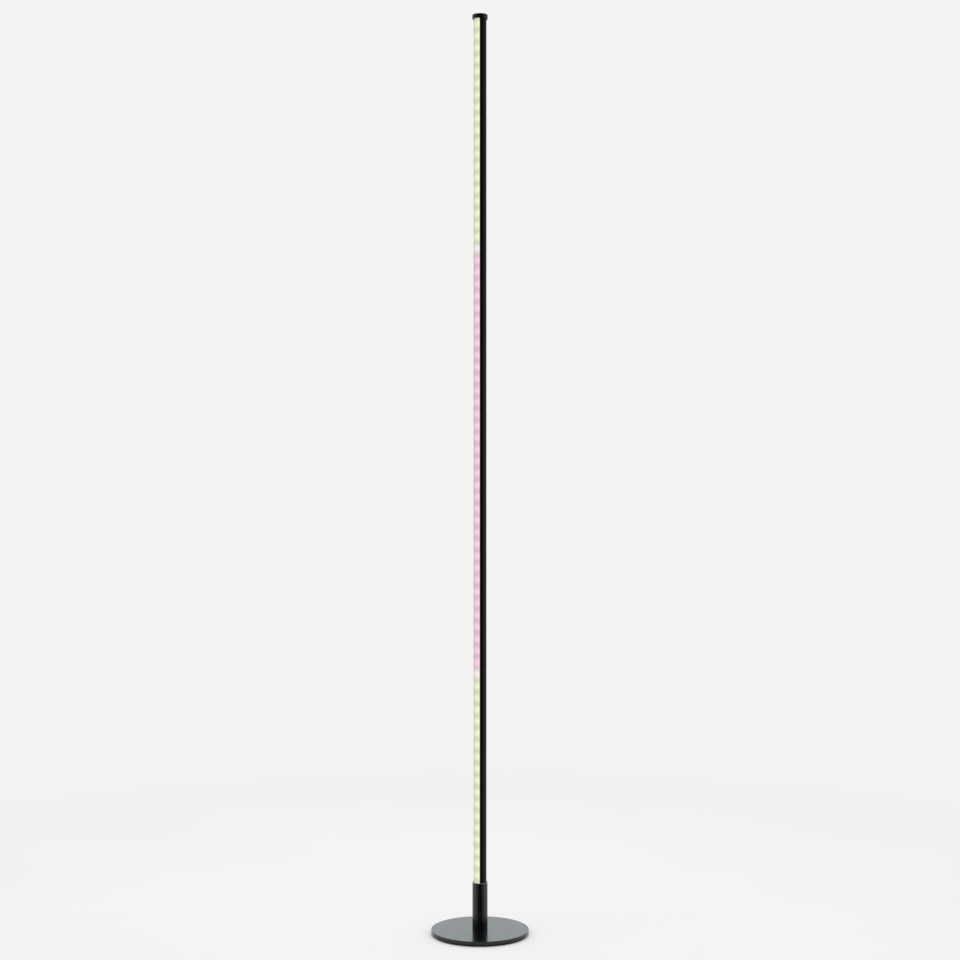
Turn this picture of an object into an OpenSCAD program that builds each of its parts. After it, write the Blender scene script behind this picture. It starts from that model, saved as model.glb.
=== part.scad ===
// Corner floor lamp: a slim round pole standing in a short sleeve on a flat round base.
// The left half of the pole is an opal diffuser over a strip of LEDs, the right half is
// the aluminium profile that holds it. The pole turns in the sleeve to aim the light.
// Millimetres, floor at z = 0, pole axis on Z, light towards -X, cord exit towards +Y.

/* [Lamp] */
// Height from the floor to the top of the cap
lamp_h = 1300; // [400:10:1800]
// How far the pole turns each way before its stop, in degrees
swivel = 165; // [120:1:165]

/* [Base] */
// Diameter of the base plate
base_d = 138; // [110:1:300]
// Thickness of the base plate
plate_t = 5.8; // [5:0.1:12]
// Height of the upright band round the plate's rim
rim_h = 3.5; // [1:0.1:4.5]
// How far the plate's underside is drawn in below the rim
rim_inset = 2.2; // [0.2:0.1:5]
// Rounding of the plate's top edge
plate_edge = 0.4; // [0.1:0.1:0.9]
// Thickness of the foam pad under the plate
pad_t = 1.5; // [0.5:0.1:4]
// How far the pad stays inside the plate's underside
pad_inset = 0.4; // [0:0.1:5]
// Diameter of the opening in the middle of the pad
pad_opening_d = 44; // [20:1:80]

/* [Sleeve] */
// Height of the sleeve above the plate
sleeve_h = 66.3; // [50:0.1:160]
// Wall of the sleeve
sleeve_wall = 1.5; // [1:0.1:4]
// Chamfer on the sleeve's upper edges
sleeve_edge = 0.4; // [0.05:0.05:0.4]
// Height of the steel boss inside the sleeve
boss_h = 26.7; // [24:0.1:32]
// Diameter of the well in the boss, where the cord turns up
well_d = 11; // [10.6:0.1:12]
// Height of the cord's centre above the plate
cord_up = 17.5; // [17:0.1:19]

/* [Cord grommet] */
// Bore for the cord
cord_d = 5; // [3:0.1:5.5]
// Rubber round the cord in the wall
grommet_wall = 1; // [0.6:0.1:1.2]
// Width of the flange beyond the neck
grommet_lip = 1.5; // [0.6:0.1:2]
// Thickness of the flange
grommet_lip_t = 1.5; // [0.8:0.1:3]
// How far the neck reaches into the boss
grommet_reach = 1.6; // [0.5:0.1:3]

/* [Pole] */
// Outer diameter of the pole
pole_d = 18.4; // [18:0.1:26]
// Wall of the aluminium profile round its back
profile_wall = 1.3; // [0.9:0.1:1.6]
// Wall of the profile beside the light chamber
side_wall = 1.7; // [1.5:0.1:2.4]
// Thickness of the web that carries the light strip
web_t = 1.3; // [0.9:0.1:1.5]
// Depth of the web's face behind the seam
web_depth = 2.2; // [2.1:0.1:2.3]
// Width of the lip that the diffuser hooks behind
lip_w = 0.9; // [0.6:0.1:1]
// Depth of the groove behind the lip
hook_groove = 0.6; // [0.3:0.1:0.8]
// Wall of the opal diffuser
diffuser_wall = 1.2; // [0.8:0.1:1.6]
// Thickness of the diffuser's clip legs
leg_t = 1.1; // [0.6:0.1:1.2]
// Depth of the shoulders that join the legs to the diffuser
shoulder = 1.2; // [0.8:0.1:2]
// Distance from the pole's axis to the screw port
port_x = 5.4; // [5.2:0.1:5.5]
// Wall of the screw port
port_wall = 1; // [0.7:0.1:1.2]

/* [Light strip] */
// Distance from one LED to the next
led_pitch = 16.67; // [8:0.01:34]
// Side of the square LED package
led_w = 5; // [3:0.1:5.6]
// Height of the LED package
led_t = 1.6; // [0.8:0.1:1.8]
// Width of the flexible circuit strip
strip_w = 10; // [8:0.1:11]
// Thickness of the circuit strip
strip_t = 0.3; // [0.15:0.01:0.35]
// Thickness of the adhesive tape behind the strip
tape_t = 0.15; // [0.1:0.01:0.2]
// Diameter of each insulated lead
lead_d = 1.2; // [0.8:0.1:1.4]
// Distance from one lead to the next
lead_pitch = 2.5; // [1.8:0.1:2.8]

/* [Foot plug] */
// Height of the foot plug below the pole's end
foot_h = 12; // [11.5:0.1:16]
// How far the plugs at both ends reach into the pole
spigot_h = 4.5; // [3:0.1:12]
// Height of the stop groove's centre above the boss
groove_up = 4.5; // [3.5:0.1:5]
// Depth of the stop groove
groove_depth = 1.8; // [1.2:0.1:1.9]
// Section diameter of the rubber drag ring
ring_d = 1.5; // [1:0.1:1.6]
// Height of the drag ring above the boss
ring_up = 9; // [8.4:0.1:10]

/* [Cap] */
// Height of the cap
cap_h = 6.4; // [4:0.1:20]
// Wall of the cap round the pole
cap_wall = 1.75; // [1.2:0.05:4]
// Thickness of the cap's top
cap_top_t = 1.8; // [1.6:0.1:3]
// Rounding of the cap's upper edge
cap_edge = 0.6; // [0.2:0.1:1.1]

/* [Screws] */
// Thread diameter of the base screw
base_screw_d = 8; // [6:0.1:8]
// Length of the base screw, head included
base_screw_l = 16; // [12:0.5:16]
// Thread diameter of the retaining screw in the sleeve
stop_screw_d = 3; // [2.5:0.1:4]
// Diameter of the retaining screw's point
stop_point_d = 2; // [1.6:0.1:2.2]
// Thread diameter of the two end screws
end_screw_d = 2.2; // [2:0.1:2.4]
// Length of the cap's screw, head included
cap_screw_l = 9.5; // [6:0.5:16]
// Length of the foot plug's screw beyond the plug
foot_screw_bite = 5; // [3:0.5:12]

/* [Hidden] */
$fn = 96;

// Clearances
seat_gap = 0.05;
turn_gap = 0.1;
strip_gap = 0.25;
cut = 1;

// Radii of the round pieces
pole_r = pole_d / 2;
bore_r = pole_r + turn_gap;
sleeve_r = bore_r + sleeve_wall;
boss_r = bore_r - seat_gap;
cap_bore_r = pole_r + seat_gap;
cap_r = cap_bore_r + cap_wall;
neck_r = cord_d / 2 + grommet_wall;

// Heights above the floor
plate_top = pad_t + plate_t;
boss_top = plate_top + boss_h;
sleeve_top = plate_top + sleeve_h;
cord_z = plate_top + cord_up;
groove_z = boss_top + groove_up;
ring_z = boss_top + ring_up;
pole_foot = boss_top + foot_h;
cap_under = lamp_h - cap_top_t;
pole_top = cap_under;
pole_l = pole_top - pole_foot;

// Base screw: countersunk head of 90 degrees, flush under the plate
base_head_r = base_screw_d;
base_head_h = base_head_r - base_screw_d / 2;
base_head_sink = 0.1;
base_hex_w = 0.6 * base_screw_d;
base_hex_depth = 0.35 * base_screw_d;
base_tip_z = pad_t + base_head_sink + base_screw_l;
tap_run_out = 0.7;

// Light chamber: the strip lies on the web and faces -X
chamber_half = pole_r - side_wall;
groove_half = chamber_half + hook_groove;
hook_end = web_depth - 0.3;
strip_face = web_depth - tape_t - strip_t;
leg_out = chamber_half - seat_gap;
leg_in = leg_out - leg_t;
back_r = pole_r - profile_wall;
web_back = web_depth + web_t;

// LEDs run down from the cap, as many whole steps as fit above the leads
strip_top = pole_top - spigot_h - strip_gap;
lead_run = 2;
led_count = floor((strip_top - pole_foot - spigot_h - lead_run) / led_pitch);
strip_l = led_count * led_pitch;
strip_foot = strip_top - strip_l;
led_z = [for (i = [0 : led_count - 1]) strip_top - (i + 0.5) * led_pitch];

// Leads and the three-way socket that they come from
lead_x = strip_face - lead_d / 2;
lead_y = [for (i = [-1 : 1]) i * lead_pitch];
socket_wall = 0.7;
socket_room = 1.9;
socket_w = 2 * (lead_pitch + socket_room / 2 + socket_wall);
socket_d = lead_d + 2.7;
socket_roof = 1.5;
socket_top = pole_foot - 1;
contact_d = 0.9;
contact_tail = 0.5;
solder_l = 3;

// Stop groove: the screw's point runs in it and meets one rib at each end of the turn
groove_floor_r = pole_r - groove_depth;
groove_w = stop_point_d + 0.4;
point_r = groove_floor_r + 0.15;
stop_gap = 0.1;
rest_to_stop = 180 - swivel;
rib_half = point_r * sin(rest_to_stop) - stop_point_d / 2 * cos(rest_to_stop) - stop_gap;
ring_r = bore_r - seat_gap / 2 - ring_d / 2;
ring_groove_w = ring_d + 0.4;

// Screw port and end screws
port_r = end_screw_d / 2 - 0.15;
end_hole_r = end_screw_d / 2 + 0.1;
end_head_r = 0.86 * end_screw_d;
end_head_h = end_head_r - end_screw_d / 2;

// Spigot that both plugs push into the light chamber
spigot_half = chamber_half - leg_t - 3 * seat_gap;
spigot_r = pole_r - diffuser_wall - 3 * seat_gap;
spigot_front = -0.66 * pole_r;
spigot_back = lead_x - lead_d / 2 - 3 * seat_gap;

// A tube or disc of the given section, from the axis outwards
module disc(r, low, high, hole_r = 0) {
    translate([0, 0, low])
        difference() {
            cylinder(r = r, h = high - low);
            if (hole_r > 0)
                translate([0, 0, -cut]) cylinder(r = hole_r, h = high - low + 2 * cut);
        }
}

// Puts what is drawn along +Z on the cord's side of the lamp, at height z
module towards_rear(z) {
    translate([0, 0, z]) rotate([-90, 0, 0]) children();
}

// Six-sided recess for a key, w across its flats
module hex_recess(w, depth) {
    cylinder(d = w / cos(30), h = depth, $fn = 6);
}

// Countersunk screw with its head at z = 0 and its tip at z = length
module countersunk_screw(head_r, head_h, shank_r, length) {
    cylinder(r1 = head_r, r2 = shank_r, h = head_h);
    translate([0, 0, head_h]) cylinder(r = shank_r, h = length - head_h);
}

// Countersunk hole for such a screw, open below z = 0
module countersink(head_r, head_h, hole_r, length) {
    translate([0, 0, -cut]) cylinder(r = hole_r, h = length + cut);
    translate([0, 0, -cut]) cylinder(r = head_r, h = cut + seat_gap);
    translate([0, 0, seat_gap]) cylinder(r1 = head_r, r2 = head_r - head_h, h = head_h);
}

// Turned steel plate: round top edge, upright rim, underside drawn in
module base_plate() {
    plate_r = base_d / 2;
    under_r = plate_r - rim_inset;
    color([0.17, 0.18, 0.19])
        difference() {
            rotate_extrude() {
                translate([0, pad_t]) square([plate_r - plate_edge, plate_t]);
                translate([0, plate_top - rim_h]) square([plate_r, rim_h - plate_edge]);
                translate([plate_r - plate_edge, plate_top - plate_edge]) circle(plate_edge);
                polygon([
                    [0, pad_t], [under_r, pad_t], [plate_r, plate_top - rim_h],
                    [0, plate_top - rim_h]
                ]);
            }
            rim_undercut(plate_r, under_r);
            translate([0, 0, pad_t])
                countersink(base_head_r + seat_gap, base_head_h, base_screw_d / 2 + 0.2,
                    plate_t + cut);
        }
}

// Ring cut away below the plate's rim, which leaves the slanted edge
module rim_undercut(plate_r, under_r) {
    rotate_extrude()
        polygon([
            [under_r, pad_t], [plate_r, plate_top - rim_h], [plate_r + cut, plate_top - rim_h],
            [plate_r + cut, pad_t - cut], [under_r, pad_t - cut]
        ]);
}

// Foam ring glued under the plate, clear of the screw
module base_pad() {
    pad_r = base_d / 2 - rim_inset - pad_inset;
    color([0.08, 0.08, 0.09])
        disc(pad_r, 0, pad_t, pad_opening_d / 2);
}

// Countersunk screw that pulls the boss down on to the plate
module fixing_screw() {
    color([0.72, 0.73, 0.74])
        translate([0, 0, pad_t + base_head_sink])
            difference() {
                countersunk_screw(base_head_r, base_head_h, base_screw_d / 2, base_screw_l);
                translate([0, 0, -cut]) hex_recess(base_hex_w, base_hex_depth + cut);
            }
}

// Tube that the pole stands in, with a hole for the cord and a tapped one above it
module sleeve() {
    color([0.19, 0.2, 0.21])
        difference() {
            rotate_extrude()
                polygon([
                    [bore_r, plate_top], [sleeve_r, plate_top],
                    [sleeve_r, sleeve_top - sleeve_edge], [sleeve_r - sleeve_edge, sleeve_top],
                    [bore_r + sleeve_edge, sleeve_top], [bore_r, sleeve_top - sleeve_edge]
                ]);
            towards_rear(cord_z) cylinder(r = neck_r + seat_gap, h = sleeve_r + cut);
            towards_rear(groove_z) cylinder(r = stop_screw_d / 2 + seat_gap, h = sleeve_r + cut);
        }
}

// Steel slug pressed into the foot of the sleeve: tapped below, cord way above
module foot_boss() {
    well_floor = cord_z - neck_r - 2 * seat_gap;
    color([0.6, 0.61, 0.63])
        difference() {
            disc(boss_r, plate_top, boss_top);
            translate([0, 0, plate_top - cut])
                cylinder(r = base_screw_d / 2 + seat_gap, h = base_tip_z + tap_run_out - plate_top + cut);
            translate([0, 0, well_floor])
                cylinder(d = well_d, h = boss_top - well_floor + cut);
            towards_rear(cord_z) cylinder(r = neck_r + seat_gap, h = boss_r + cut);
        }
}

// Rubber bush round the cord, with a flange that follows the sleeve
module cord_grommet() {
    lip_face = sleeve_r + grommet_lip_t;
    color([0.07, 0.07, 0.07])
        difference() {
            union() {
                towards_rear(cord_z)
                    translate([0, 0, boss_r - grommet_reach])
                        cylinder(r = neck_r, h = lip_face - boss_r + grommet_reach);
                difference() {
                    towards_rear(cord_z) cylinder(r = neck_r + grommet_lip, h = lip_face);
                    disc(sleeve_r + seat_gap, 0, sleeve_top);
                }
            }
            towards_rear(cord_z) cylinder(d = cord_d, h = lip_face + cut);
        }
}

// Set screw in the sleeve, whose point keeps the pole down and stops its turn
module retaining_screw() {
    body_start = bore_r + seat_gap;
    body_end = sleeve_r - 0.2;
    color([0.3, 0.31, 0.32])
        towards_rear(groove_z)
            difference() {
                union() {
                    translate([0, 0, point_r]) cylinder(d = stop_point_d, h = body_end - point_r);
                    translate([0, 0, body_start])
                        cylinder(d = stop_screw_d, h = body_end - body_start);
                }
                translate([0, 0, body_end - 0.9]) hex_recess(stop_screw_d / 2, 0.9 + cut);
            }
}

// Block that fills the light chamber between the diffuser and the leads
module spigot(low, high) {
    translate([0, 0, low])
        linear_extrude(high - low)
            intersection() {
                circle(spigot_r);
                translate([spigot_front, -spigot_half])
                    square([spigot_back - spigot_front, 2 * spigot_half]);
            }
}

// Ring-shaped groove, w wide and centred on height z, down to radius floor_r
module ring_groove(floor_r, z, w) {
    difference() {
        disc(pole_r + cut, z - w / 2, z + w / 2);
        disc(floor_r, z - w, z + w);
    }
}

// Outline of the socket, seen along Z and grown by a clearance
module socket_outline(gap) {
    translate([lead_x - socket_d / 2 - gap, -socket_w / 2 - gap])
        square([socket_d + 2 * gap, socket_w + 2 * gap]);
}

// Nylon plug in the pole's lower end: it carries the socket and runs in the sleeve
module foot_plug() {
    color([0.85, 0.84, 0.8])
        difference() {
            union() {
                disc(pole_r, boss_top, pole_foot);
                spigot(pole_foot, pole_foot + spigot_h);
            }
            difference() {
                ring_groove(groove_floor_r, groove_z, groove_w);
                translate([-rib_half, -pole_r - cut, boss_top])
                    cube([2 * rib_half, pole_r + cut, foot_h]);
            }
            ring_groove(ring_r - ring_d / 2 - seat_gap, ring_z, ring_groove_w);
            translate([0, 0, boss_top - cut])
                linear_extrude(socket_top - boss_top + cut) socket_outline(seat_gap);
            translate([spigot_back, lead_y[0] - lead_d, socket_top - cut])
                cube([web_depth - spigot_back, 2 * (lead_pitch + lead_d), foot_h]);
            translate([port_x, 0, boss_top])
                countersink(end_head_r + seat_gap, end_head_h, end_hole_r, foot_h + cut);
        }
}

// Rubber ring that drags in the sleeve, so that the pole stays where it is turned
module drag_ring() {
    color([0.05, 0.05, 0.05])
        translate([0, 0, ring_z])
            rotate_extrude() translate([ring_r, 0]) circle(d = ring_d, $fn = 32);
}

// Self-tapping screw with its head at z = 0: shank in the plug, thread in the port
module end_screw(length) {
    countersunk_screw(end_head_r, end_head_r - port_r + seat_gap, port_r - seat_gap, length);
}

// Screw that draws the foot plug on to the profile
module foot_screw() {
    color([0.7, 0.7, 0.68])
        translate([port_x, 0, boss_top + 2 * seat_gap])
            end_screw(foot_h + foot_screw_bite);
}

// Three-way socket for the cord's plug, open towards the boss
module lead_socket() {
    mouth_roof = socket_top - socket_roof;
    color([0.9, 0.9, 0.88])
        difference() {
            translate([0, 0, boss_top])
                linear_extrude(socket_top - boss_top) socket_outline(0);
            translate([0, 0, boss_top - cut])
                linear_extrude(mouth_roof - boss_top + cut) socket_outline(-socket_wall);
            for (y = lead_y)
                translate([lead_x, y, mouth_roof - cut])
                    cylinder(d = contact_d + 2 * seat_gap, h = socket_roof + 2 * cut, $fn = 24);
        }
}

// Brass pins that run from the socket's mouth to the leads
module socket_contacts() {
    pin_low = boss_top + 3;
    color([0.85, 0.7, 0.35])
        for (y = lead_y)
            translate([lead_x, y, pin_low])
                cylinder(d = contact_d, h = socket_top + contact_tail - pin_low, $fn = 24);
}

// Three insulated leads up to the strip, soldered to its lowest pads
module strip_leads() {
    lead_low = socket_top + contact_tail;
    lead_high = strip_foot - strip_gap;
    core_r = 0.3 * lead_d;
    color([0.93, 0.93, 0.93])
        for (y = lead_y)
            translate([lead_x, y, 0]) {
                translate([0, 0, lead_low])
                    cylinder(d = lead_d, h = lead_high - lead_low, $fn = 24);
                translate([0, 0, lead_high])
                    cylinder(r = core_r, h = strip_foot + solder_l - lead_high, $fn = 24);
                translate([0, -core_r, strip_foot]) cube([lead_d / 2, 2 * core_r, solder_l]);
            }
}

// Section of the aluminium profile: round back, web, screw port and hook grooves
module profile_section() {
    difference() {
        intersection() {
            circle(pole_r);
            translate([0, -pole_d]) square([pole_d, 2 * pole_d]);
        }
        translate([-cut, -chamber_half]) square([web_depth + cut, 2 * chamber_half]);
        translate([lip_w, -groove_half]) square([hook_end - lip_w, 2 * groove_half]);
        difference() {
            intersection() {
                circle(back_r);
                translate([web_back, -pole_d]) square([pole_d, 2 * pole_d]);
            }
            translate([port_x, 0]) circle(port_r + port_wall);
            translate([0, -port_wall]) square([pole_r, 2 * port_wall]);
        }
        translate([port_x, 0]) circle(port_r);
        translate([port_x - port_r / 2, 0]) square([port_r, port_r + port_wall + cut]);
    }
}

// Black aluminium extrusion, the right half of the pole
module profile() {
    color([0.12, 0.12, 0.13])
        translate([0, 0, pole_foot]) linear_extrude(pole_l) profile_section();
}

// One clip leg of the diffuser with its hook, on the +Y side or the -Y side
module clip_leg(side) {
    hook_out = groove_half - 2 * seat_gap;
    hook_low = lip_w + seat_gap;
    leg_end = hook_end - 2 * seat_gap;
    outline = [
        [-shoulder, leg_in], [leg_end, leg_in], [leg_end, leg_out],
        [(hook_low + leg_end) / 2, hook_out], [hook_low, hook_out], [hook_low, leg_out],
        [-shoulder, leg_out]
    ];
    polygon([for (p = outline) [p.x, side * p.y]]);
}

// Section of the diffuser: half ring with a shoulder and a clip leg on each side
module diffuser_section() {
    difference() {
        circle(pole_r);
        difference() {
            translate([0, -pole_r - cut]) square([pole_r + cut, pole_d + 2 * cut]);
            clip_leg(1);
            clip_leg(-1);
        }
        intersection() {
            circle(pole_r - diffuser_wall);
            translate([-pole_r, -pole_r]) square([pole_r - shoulder, pole_d]);
        }
        translate([-shoulder - cut, -leg_in]) square([shoulder + 2 * cut, 2 * leg_in]);
    }
}

// Opal half tube that snaps into the profile, the left half of the pole
module diffuser() {
    color([0.95, 0.93, 0.9])
        translate([0, 0, pole_foot]) linear_extrude(pole_l) diffuser_section();
}

// Adhesive tape between the web and the strip
module strip_tape() {
    color([0.8, 0.25, 0.2])
        translate([web_depth - tape_t, -strip_w / 2 + strip_gap, strip_foot + strip_gap])
            cube([tape_t, strip_w - 2 * strip_gap, strip_l - 2 * strip_gap]);
}

// White flexible circuit strip
module led_strip() {
    color([0.96, 0.96, 0.94])
        translate([strip_face, -strip_w / 2, strip_foot]) cube([strip_t, strip_w, strip_l]);
}

// Square LED packages, each with a shallow round window in its face
module led_packages() {
    window_depth = 0.25;
    color([1, 0.98, 0.85])
        for (z = led_z)
            translate([strip_face - led_t, 0, z])
                difference() {
                    translate([0, -led_w / 2, -led_w / 2]) cube([led_t, led_w, led_w]);
                    translate([-cut, 0, 0])
                        rotate([0, 90, 0])
                            cylinder(r = 0.38 * led_w, h = cut + window_depth, $fn = 24);
                }
}

// One ceramic capacitor above each LED
module strip_capacitors() {
    cap_size = [0.8, 0.8, 1.6];
    cap_y = 0.32 * strip_w;
    color([0.65, 0.5, 0.35])
        for (z = led_z)
            translate([strip_face - cap_size.x, cap_y, z + led_w / 2 + seat_gap])
                cube(cap_size);
}

// Moulded cap: a cup over the pole's end, with a spigot in the light chamber
module top_cap() {
    color([0.09, 0.09, 0.1])
        difference() {
            union() {
                difference() {
                    translate([0, 0, lamp_h - cap_h])
                        rotate_extrude() {
                            square([cap_r - cap_edge, cap_h]);
                            square([cap_r, cap_h - cap_edge]);
                            translate([cap_r - cap_edge, cap_h - cap_edge]) circle(cap_edge);
                        }
                    disc(cap_bore_r, lamp_h - cap_h - cut, cap_under);
                }
                spigot(cap_under - spigot_h, cap_under + seat_gap);
            }
            translate([port_x, 0, lamp_h])
                mirror([0, 0, 1])
                    countersink(end_head_r + seat_gap, end_head_h, end_hole_r, cap_top_t + cut);
        }
}

// Screw that holds the cap to the profile
module cap_screw() {
    color([0.15, 0.15, 0.16])
        translate([port_x, 0, lamp_h - 2 * seat_gap])
            mirror([0, 0, 1]) end_screw(cap_screw_l);
}

base_plate();
base_pad();
fixing_screw();
sleeve();
foot_boss();
cord_grommet();
retaining_screw();
foot_plug();
drag_ring();
foot_screw();
lead_socket();
socket_contacts();
strip_leads();
profile();
diffuser();
strip_tape();
led_strip();
led_packages();
strip_capacitors();
top_cap();
cap_screw();
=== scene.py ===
import math

import bmesh
import bpy
from mathutils import Matrix, Vector


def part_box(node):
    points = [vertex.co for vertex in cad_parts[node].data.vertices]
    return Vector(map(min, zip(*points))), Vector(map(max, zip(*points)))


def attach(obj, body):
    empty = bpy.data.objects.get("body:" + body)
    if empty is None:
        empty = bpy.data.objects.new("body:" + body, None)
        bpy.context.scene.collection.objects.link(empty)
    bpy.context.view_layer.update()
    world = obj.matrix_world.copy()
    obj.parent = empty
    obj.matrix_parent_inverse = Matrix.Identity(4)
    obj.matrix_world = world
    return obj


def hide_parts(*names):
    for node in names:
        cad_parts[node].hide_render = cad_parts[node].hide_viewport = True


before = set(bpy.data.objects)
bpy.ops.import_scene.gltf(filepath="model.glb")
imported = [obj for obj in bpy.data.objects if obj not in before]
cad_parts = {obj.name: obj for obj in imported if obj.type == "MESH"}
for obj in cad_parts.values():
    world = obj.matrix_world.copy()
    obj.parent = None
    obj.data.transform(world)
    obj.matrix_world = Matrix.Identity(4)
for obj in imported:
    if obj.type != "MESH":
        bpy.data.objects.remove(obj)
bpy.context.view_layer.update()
scene = bpy.context.scene
scene.view_settings.view_transform = "Standard"

# ---------------------------------------------------------------- view
# A level camera half-way up the lamp, 2.4 m in front of the pole.
# The whole lamp, from the floor to the cap, just fills the picture.
LENS, CAMERA_OUT, CAMERA_UP = 63.417, 2.3927, 0.6421

lens = bpy.data.cameras.new("front_view")
lens.sensor_width = 36
lens.lens = LENS
camera = bpy.data.objects.new("front_view", lens)
camera.location = (0, -CAMERA_OUT, CAMERA_UP)
camera.rotation_euler = (math.pi / 2, 0, 0)
scene.collection.objects.link(camera)
scene.camera = camera

# ---------------------------------------------------------------- floor and light
# A pale matt floor that fades into a pale room. What the black pieces mirror of the room is
# lit behind and beside the lamp, dimmer high up, and unlit in front.
FLOOR_R = 1.6
FLOOR_HOLE = 0.065  # its edge is hidden under the foam ring
FADE_FROM, FADE_TO = 0.55 * FLOOR_R, 0.98 * FLOOR_R
CARD_FROM, CARD_UP = 0.093, 0.001
BLACK_TO, CLEAR_FROM = math.radians(12), math.radians(72)
UNLIT, COOL_WALL = (0.0,), (0.882, 0.95, 0.976)
# Each stop is a place from the front of the room, 0, to the back, 1, and the light there. The low
# light changes to the high light as the direction looked in rises from HIGH_FROM to HIGH_TO.
LIT_LOW = ((0.0, UNLIT), (0.125, (0.03,)), (0.2, (0.12,)), (0.29, (0.62,)), (0.4, (0.82,)),
           (0.62, (0.82,)), (0.72, (0.5,)), (0.8, (0.25,)), (0.93, (0.3,)),
           (0.965, COOL_WALL), (1.0, COOL_WALL))
LIT_HIGH = ((0.0, UNLIT), (0.2, (0.06,)), (0.35, (0.40,)), (0.62, (0.40,)), (0.93, (0.3,)),
            (0.965, COOL_WALL), (1.0, COOL_WALL))
HIGH_FROM, HIGH_TO = 0.03, 0.22
MIRRORED_GAIN = 1.4
SOFT_LIGHT, BACKDROP = (0.80, 0.80, 0.80, 1), (0.90, 0.90, 0.89, 1)
TOP_LIGHT_AT, TOP_LIGHT_SIZE, TOP_LIGHT_WATTS = Vector((0.0, 0.2, 2.6)), 1.6, 24


def add(owner, kind, *feeds, **settings):
    """One node. Feeds go to its inputs in order, settings to its options or inputs by name."""
    node = owner.node_tree.nodes.new("ShaderNode" + kind)
    for option in [name for name in settings if hasattr(node, name)]:
        setattr(node, option, settings.pop(option))
    named = [(node.inputs[name.replace("_", " ")], value) for name, value in settings.items()]
    for socket, value in [*zip(node.inputs, feeds), *named]:
        if isinstance(value, bpy.types.NodeSocket):
            owner.node_tree.links.new(value, socket)
        elif value is not None:
            socket.default_value = value
    return node.outputs[0] if node.outputs else node


def ramp(owner, along, *stops):
    """A run of colours: each stop is its place from 0 to 1 and its colour."""
    colours = add(owner, "ValToRGB", along)
    run = colours.node.color_ramp.elements
    while len(run) < len(stops):
        run.new(1.0)
    for stop, (place, colour) in zip(run, stops):
        stop.position = place
        stop.color = (*colour, 1) if len(colour) == 3 else (*colour * 3, 1)
    return colours


room = bpy.data.worlds.new("pale_room")
room.use_nodes = True
scene.world = room
room.node_tree.nodes.clear()
towards = add(room, "TexCoord")
way = add(room, "SeparateXYZ", towards).node.outputs
from_front = add(room, "MapRange", way["Y"], -1.0, 1.0, 0.0, 1.0)
raised = add(room, "MapRange", way["Z"], HIGH_FROM, HIGH_TO, 0.0, 1.0)
lit = add(room, "MixRGB", raised, ramp(room, from_front, *LIT_LOW), ramp(room, from_front, *LIT_HIGH))
ray = add(room, "LightPath").node.outputs
mirrored = add(room, "Background", lit, MIRRORED_GAIN)
around = add(room, "Background", SOFT_LIGHT, 1.0)
behind = add(room, "Background", BACKDROP, 1.0)
unseen = add(room, "MixShader", ray["Is Glossy Ray"], around, mirrored)
add(room, "OutputWorld", add(room, "MixShader", ray["Is Camera Ray"], unseen, behind))
room.cycles.sampling_method = "NONE"


def laid_round(name, inner, up):
    """A flat ring round the lamp, out to the floor's edge, with an empty material."""
    bm = bmesh.new()
    for radius in (inner, FLOOR_R):
        bmesh.ops.create_circle(bm, radius=radius, segments=128)
    bmesh.ops.bridge_loops(bm, edges=bm.edges)
    bmesh.ops.recalc_face_normals(bm, faces=bm.faces)
    bmesh.ops.translate(bm, verts=bm.verts, vec=(0, 0, up))
    mesh = bpy.data.meshes.new(name)
    bm.to_mesh(mesh)
    bm.free()
    ring = bpy.data.objects.new(name, mesh)
    scene.collection.objects.link(ring)
    skin = bpy.data.materials.new(name)
    skin.use_nodes = True
    skin.node_tree.nodes.clear()
    mesh.materials.append(skin)
    return ring


matt = laid_round("pale_floor", FLOOR_HOLE, 0).active_material
spot = add(matt, "TexCoord").node.outputs["Object"]
cloud = add(matt, "TexNoise", Vector=spot, Scale=3.0, Detail=3.0)
shade = ramp(matt, cloud, (0.3, (0.815, 0.815, 0.81)), (0.7, (0.83, 0.83, 0.825)))
paint = add(matt, "BsdfDiffuse", shade)
out_from = add(matt, "VectorMath", spot, operation="LENGTH").node.outputs["Value"]
fade = add(matt, "MapRange", out_from, FADE_FROM, FADE_TO, 0.0, 1.0, interpolation_type="SMOOTHSTEP")
# From below the floor is clear, so that the lamp's underside can be looked at.
below = add(matt, "NewGeometry").node.outputs["Backfacing"]
gone = add(matt, "Math", fade, below, operation="MAXIMUM")
add(matt, "OutputMaterial", add(matt, "MixShader", gone, paint, add(matt, "BsdfTransparent")))

# A black card lies on the floor in front, where only reflections can see it. It thins out to
# both sides, so the dark band that it puts on round pieces has soft edges.
card = laid_round("black_card", CARD_FROM, CARD_UP)
card.visible_camera = card.visible_diffuse = card.visible_shadow = card.visible_transmission = False
black = card.active_material
flat = add(black, "SeparateXYZ", add(black, "TexCoord").node.outputs["Object"]).node.outputs
to_side = add(black, "Math", flat["X"], operation="ABSOLUTE")
to_front = add(black, "Math", flat["Y"], -1.0, operation="MULTIPLY")
turned_away = add(black, "Math", to_side, to_front, operation="ARCTAN2")
thin = add(black, "MapRange", turned_away, BLACK_TO, CLEAR_FROM, 0.0, 1.0,
           interpolation_type="SMOOTHSTEP")
ink = add(black, "BsdfDiffuse", (0.003, 0.003, 0.003, 1))
add(black, "OutputMaterial", add(black, "MixShader", thin, ink, add(black, "BsdfTransparent")))

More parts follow.
